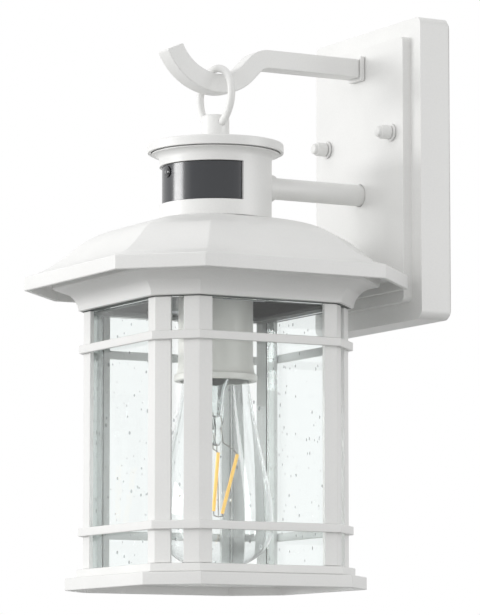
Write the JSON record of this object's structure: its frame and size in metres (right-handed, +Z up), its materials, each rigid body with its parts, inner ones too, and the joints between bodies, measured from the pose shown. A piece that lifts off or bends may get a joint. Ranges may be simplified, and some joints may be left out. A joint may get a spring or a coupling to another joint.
{
  "type": "outdoor wall lantern",
  "caption": "White outdoor wall lantern: rectangular backplate, hook arm with ring, drum sensor head, ogee roof, eight-sided glazed cage with seeded glass, clear filament bulb.",
  "frame": {"origin": "centre of the mounting crossbar's rear face, on the wall plane", "axes": "+Y into the wall, so the lantern hangs toward -Y; +Z up; +X to the lantern's right as a viewer in front of it sees it"},
  "size_m": [0.19, 0.2182, 0.3339],
  "materials": {
    "white_paint": "fine-textured satin powder coat",
    "zinc_steel": "zinc plated",
    "brass": "turned",
    "foam_rubber": "white closed-cell foam",
    "seeded_glass": "clear seeded glass",
    "bulb_glass": "clear thin glass",
    "sensor_lens": "smoked, glossy",
    "photocell_lens": "glossy",
    "circuit_board": "solder mask",
    "ground_green": "green",
    "socket_phenolic": "pale phenolic",
    "lead_sheath": "black sheath",
    "bulb_cap_metal": "bright",
    "filament_glass": "glass stem with yellow filaments"
  },
  "bodies": {
    "fixture": {"backplate": "white_paint", "base_ledge": "white_paint", "base_skirt": "white_paint", "cap_nut_left": "white_paint", "cap_nut_right": "white_paint", "crown": "white_paint", "crown_screw_left": "white_paint", "crown_screw_right": "white_paint", "ground_screw": "ground_green", "hook_arm": "white_paint", "hook_arm_screw": "zinc_steel", "hook_flange": "white_paint", "lower_rail": "white_paint", "mounting_crossbar": "zinc_steel", "mounting_stud_left": "zinc_steel", "mounting_stud_right": "zinc_steel", "nipple_nut_lower": "brass", "nipple_nut_upper": "brass", "nut_washer_left": "white_paint", "nut_washer_right": "white_paint", "pane_narrow_front_left": "seeded_glass", "pane_narrow_front_right": "seeded_glass", "pane_narrow_rear_left": "seeded_glass", "pane_narrow_rear_right": "seeded_glass", "pane_wide_front": "seeded_glass", "pane_wide_left": "seeded_glass", "pane_wide_rear": "seeded_glass", "pane_wide_right": "seeded_glass", "photocell": "photocell_lens", "pir_element": "zinc_steel", "post_front_left": "white_paint", "post_front_right": "white_paint", "post_left_front": "white_paint", "post_left_rear": "white_paint", "post_rear_left": "white_paint", "post_rear_right": "white_paint", "post_right_front": "white_paint", "post_right_rear": "white_paint", "ring_boss": "white_paint", "roof": "white_paint", "sensor_board": "circuit_board", "sensor_cap": "white_paint", "sensor_housing": "white_paint", "sensor_window": "sensor_lens", "socket_body": "socket_phenolic", "socket_bracket": "zinc_steel", "socket_shell": "brass", "supply_cable": "lead_sheath", "support_tube": "white_paint", "threaded_nipple": "brass", "tube_collar": "white_paint", "tube_nut_front": "zinc_steel", "tube_nut_rear": "zinc_steel", "upper_rail": "white_paint", "wall_gasket": "foam_rubber"},
    "ring": {"hanging_ring": "white_paint"},
    "bulb_carriage": {"bulb_contact": "brass"},
    "bulb": {"bulb_glass": "bulb_glass", "bulb_cap": "bulb_cap_metal", "filament_mount": "filament_glass"}
  },
  "joints": [
    {"name": "ring_swing", "type": "hinge", "parent": "fixture", "child": "ring", "pos_m": [0, -0.1232, 0.0023], "axis": [1, 0, 0], "range_deg": [-5, 5]},
    {"name": "bulb_withdraw", "type": "slide", "parent": "fixture", "child": "bulb_carriage", "axis": [0, 0, -1], "range_m": [0, 0.165]},
    {"name": "bulb_turn", "type": "hinge", "parent": "bulb_carriage", "child": "bulb", "pos_m": [0, -0.1232, -0.1479], "axis": [0, 0, 1], "continuous": true}
  ]
}
